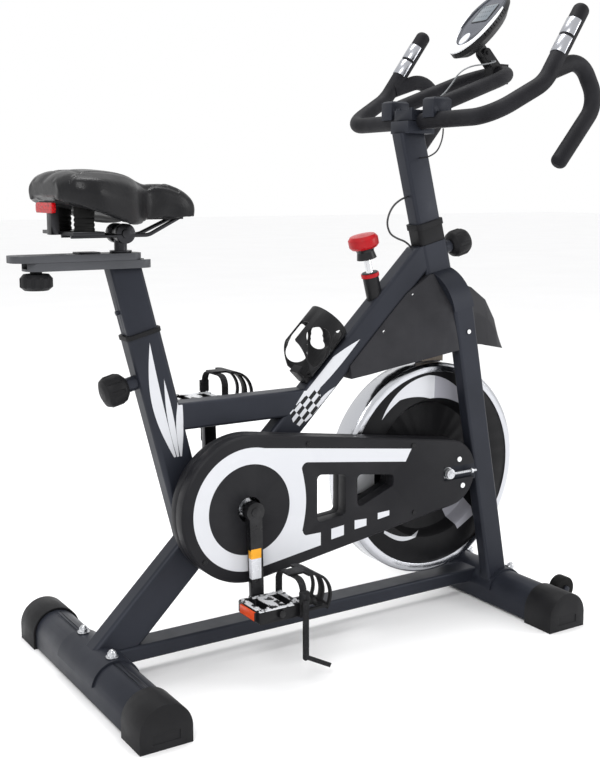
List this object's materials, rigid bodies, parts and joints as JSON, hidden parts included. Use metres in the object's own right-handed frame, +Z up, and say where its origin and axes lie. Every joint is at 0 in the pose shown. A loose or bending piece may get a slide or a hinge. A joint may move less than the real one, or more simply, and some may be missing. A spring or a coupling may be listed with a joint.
{
  "type": "exercise bike",
  "caption": "Upright indoor cycling bike with a heavy front wheel, belt guard, adjustable saddle and handlebar, friction brake knob, pedals with toe cages and a console.",
  "frame": {"origin": "on the floor under the middle of the bike's bounding box", "axes": "+X forward, +Y to the rider's left, +Z up"},
  "size_m": [1.122, 0.565, 1.2758],
  "materials": {
    "frame_paint": "satin powder coat",
    "black_plastic": "fine texture",
    "guard_plastic": "fine texture with pale bands",
    "chrome": "polished",
    "wheel_iron": "black satin",
    "steel": "bright zinc",
    "crank_steel": "black satin",
    "rubber": "matt",
    "vinyl": "soft vinyl",
    "red_plastic": "gloss",
    "aluminium": "satin",
    "grip_foam": "soft grip",
    "screen": "gloss",
    "felt": "felt",
    "reflector_red": "prismatic",
    "belt_rubber": "ribbed",
    "cable": "smooth",
    "strap_web": "woven"
  },
  "bodies": {
    "frame": {"frame": "frame_paint", "floor_bar_rear": "frame_paint", "floor_bar_front": "frame_paint", "end_caps": "black_plastic", "bar_bolts": "steel", "roller_lugs": "frame_paint", "post_sleeves": "black_plastic", "bearing_cups": "steel", "guard_outer": "guard_plastic", "guard_inner": "guard_plastic", "cover_screws": "steel", "cover_right": "guard_plastic", "cover_left": "guard_plastic", "wheel_axle": "steel", "drive_belt": "belt_rubber", "brake_sleeve": "black_plastic", "bottle_cage": "black_plastic", "sensor_cable": "cable"},
    "wheel": {"flywheel": "wheel_iron", "flywheel_rim": "chrome", "small_pulley": "aluminium"},
    "crank": {"crank_axle": "steel", "drive_pulley": "aluminium", "crank_right": "crank_steel", "crank_left": "crank_steel"},
    "pedal_right": {"pedal_right": "aluminium", "toe_cage_right": "black_plastic", "strap_right": "strap_web"},
    "pedal_left": {"pedal_left": "aluminium", "toe_cage_left": "black_plastic", "strap_left": "strap_web"},
    "seat_post": {"seat_post": "frame_paint", "slide_base": "frame_paint"},
    "seat_slide": {"slide_rail": "frame_paint", "saddle_pillar": "steel"},
    "saddle": {"saddle_cushion": "vinyl", "saddle_pan": "black_plastic", "saddle_bumpers": "rubber", "saddle_frame": "crank_steel", "saddle_reflector": "reflector_red"},
    "slide_knob": {"slide_knob": "black_plastic"},
    "seat_pin": {"seat_pin": "black_plastic"},
    "handlebar_pin": {"handlebar_pin": "black_plastic"},
    "handlebar": {"handlebar_post": "frame_paint", "bar_clamps": "frame_paint", "handlebar": "grip_foam", "forearm_loop": "grip_foam", "pulse_plates": "chrome", "console_bracket": "black_plastic", "console_wire": "cable", "pulse_wire": "cable"},
    "console": {"console_body": "black_plastic", "console_screen": "screen"},
    "console_button": {"console_button": "black_plastic"},
    "brake_rod": {"brake_rod": "chrome"},
    "brake_knob": {"brake_knob": "red_plastic"},
    "brake_arm": {"brake_arm": "steel", "brake_pad": "felt"},
    "roller_right": {"roller_right": "rubber"},
    "roller_left": {"roller_left": "rubber"}
  },
  "joints": [
    {"name": "wheel_spin", "type": "hinge", "parent": "frame", "child": "wheel", "pos_m": [0.304, 0, 0.303], "axis": [0, 1, 0], "continuous": true},
    {"name": "crank_spin", "type": "hinge", "parent": "frame", "child": "crank", "pos_m": [-0.161, 0, 0.3], "axis": [0, 1, 0], "continuous": true},
    {"name": "pedal_right_spin", "type": "hinge", "parent": "crank", "child": "pedal_right", "pos_m": [-0.15668, -0.1495, 0.13506], "axis": [0, 1, 0], "continuous": true},
    {"name": "pedal_left_spin", "type": "hinge", "parent": "crank", "child": "pedal_left", "pos_m": [-0.16532, 0.1175, 0.46494], "axis": [0, 1, 0], "continuous": true},
    {"name": "seat_height", "type": "slide", "parent": "frame", "child": "seat_post", "axis": [-0.2453, 0, 0.9694], "range_m": [-0.02, 0.1]},
    {"name": "saddle_fore_aft", "type": "slide", "parent": "seat_post", "child": "seat_slide", "axis": [1, 0, 0], "range_m": [-0.04, 0.04]},
    {"name": "saddle_tilt", "type": "hinge", "parent": "seat_slide", "child": "saddle", "pos_m": [-0.364, 0, 0.8], "axis": [0, 1, 0], "range_deg": [-6, 6]},
    {"name": "slide_knob_turn", "type": "hinge", "parent": "seat_post", "child": "slide_knob", "pos_m": [-0.515, 0, 0.725], "axis": [0, 0, 1], "range_deg": [-180, 180]},
    {"name": "seat_pin_pull", "type": "slide", "parent": "frame", "child": "seat_pin", "axis": [-0.9694, 0, -0.2453], "range_m": [0, 0.009], "stiffness_N_per_m": 800, "springref_m": -0.01},
    {"name": "handlebar_pin_pull", "type": "slide", "parent": "frame", "child": "handlebar_pin", "axis": [0.9694, 0, 0.2453], "range_m": [0, 0.009], "stiffness_N_per_m": 800, "springref_m": -0.01},
    {"name": "handlebar_height", "type": "slide", "parent": "frame", "child": "handlebar", "axis": [-0.2453, 0, 0.9694], "range_m": [-0.02, 0.09]},
    {"name": "console_tilt", "type": "hinge", "parent": "handlebar", "child": "console", "pos_m": [0.44487, 0, 1.15017], "axis": [0, 1, 0], "range_deg": [-8, 20]},
    {"name": "console_button_press", "type": "slide", "parent": "console", "child": "console_button", "axis": [-0.7193, 0, 0.6947], "range_m": [-0.001, 0], "stiffness_N_per_m": 400, "springref_m": 0.001},
    {"name": "brake_push", "type": "slide", "parent": "frame", "child": "brake_rod", "axis": [-0.2453, 0, 0.9694], "range_m": [-0.0007, 0.001], "stiffness_N_per_m": 2000},
    {"name": "brake_knob_turn", "type": "hinge", "parent": "brake_rod", "child": "brake_knob", "pos_m": [0.14947, 0, 0.76094], "axis": [-0.2453, 0, 0.9694], "continuous": true},
    {"name": "brake_arm_swing", "type": "hinge", "parent": "frame", "child": "brake_arm", "pos_m": [0.147, 0, 0.545], "axis": [0, 1, 0], "range_deg": [-1.4, 1.5]},
    {"name": "roller_right_spin", "type": "hinge", "parent": "frame", "child": "roller_right", "pos_m": [0.536, -0.1775, 0.046], "axis": [0, 1, 0], "continuous": true},
    {"name": "roller_left_spin", "type": "hinge", "parent": "frame", "child": "roller_left", "pos_m": [0.536, 0.1775, 0.046], "axis": [0, 1, 0], "continuous": true}
  ],
  "couplings": [
    {"joint": "crank_spin", "follows": "wheel_spin", "ratio": 0.34},
    {"joint": "brake_arm_swing", "follows": "brake_push", "rad_per_m": -19.231}
  ]
}
